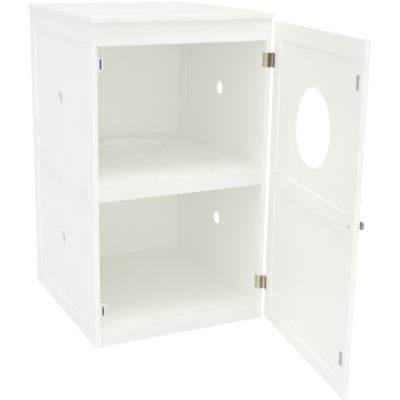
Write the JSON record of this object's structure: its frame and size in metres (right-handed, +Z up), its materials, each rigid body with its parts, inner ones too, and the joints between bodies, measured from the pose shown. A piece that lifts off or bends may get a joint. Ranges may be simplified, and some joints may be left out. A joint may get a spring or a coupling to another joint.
{
  "type": "cat litter cabinet",
  "caption": "Tall white framed cabinet for a cat: a hinged door with a round entrance, a shelf with a round passage, vented sides and magnetic catches.",
  "frame": {"origin": "on the floor, under the centre of the top board's footprint", "axes": "+X to the right of someone facing the front, +Y to the back, +Z up; the door is stored standing 81 degrees open"},
  "size_m": [0.5454, 1.0951, 0.9],
  "materials": {
    "white_board": "white satin paint on fibreboard",
    "raw_beech": "raw, plain",
    "zinc_steel": "zinc plated",
    "aged_brass": "pale aged brass plate",
    "white_plastic": "matt moulded",
    "black_magnet": "ferrite and blackened iron",
    "satin_nickel": "satin nickel"
  },
  "bodies": {
    "case": {"top_board": "white_board", "left_front_stile": "white_board", "left_rear_stile": "white_board", "left_top_rail": "white_board", "left_mid_rail": "white_board", "left_bottom_rail": "white_board", "left_upper_panel": "white_board", "left_lower_panel": "white_board", "right_front_stile": "white_board", "right_rear_stile": "white_board", "right_top_rail": "white_board", "right_mid_rail": "white_board", "right_bottom_rail": "white_board", "right_upper_panel": "white_board", "right_lower_panel": "white_board", "header_rail": "white_board", "middle_shelf": "white_board", "shelf_rail": "white_board", "bottom_board": "white_board", "base_rail": "white_board", "back_panel": "white_board", "cam_discs": "zinc_steel", "cam_bolts": "zinc_steel", "rail_dowels": "raw_beech", "board_dowels": "raw_beech", "back_screws": "zinc_steel", "upper_catch_housing": "white_plastic", "lower_catch_housing": "white_plastic", "catch_magnets": "black_magnet", "catch_pole_plates": "black_magnet", "catch_screws": "zinc_steel", "upper_case_leaf": "aged_brass", "lower_case_leaf": "aged_brass", "upper_hinge_pin": "aged_brass", "lower_hinge_pin": "aged_brass", "case_leaf_screws": "aged_brass"},
    "door": {"door_hinge_stile": "white_board", "door_latch_stile": "white_board", "door_top_rail": "white_board", "door_mid_rail": "white_board", "door_bottom_rail": "white_board", "door_upper_panel": "white_board", "door_lower_panel": "white_board", "upper_door_leaf": "aged_brass", "lower_door_leaf": "aged_brass", "door_leaf_screws": "aged_brass", "upper_strike_plate": "zinc_steel", "lower_strike_plate": "zinc_steel", "strike_screws": "zinc_steel", "knob": "satin_nickel", "knob_screw": "zinc_steel"}
  },
  "joints": [
    {"name": "door_swing", "type": "hinge", "parent": "case", "child": "door", "pos_m": [0.265, -0.2813, 0.443], "axis": [0, 0, 1], "range_deg": [-81, 99]}
  ]
}
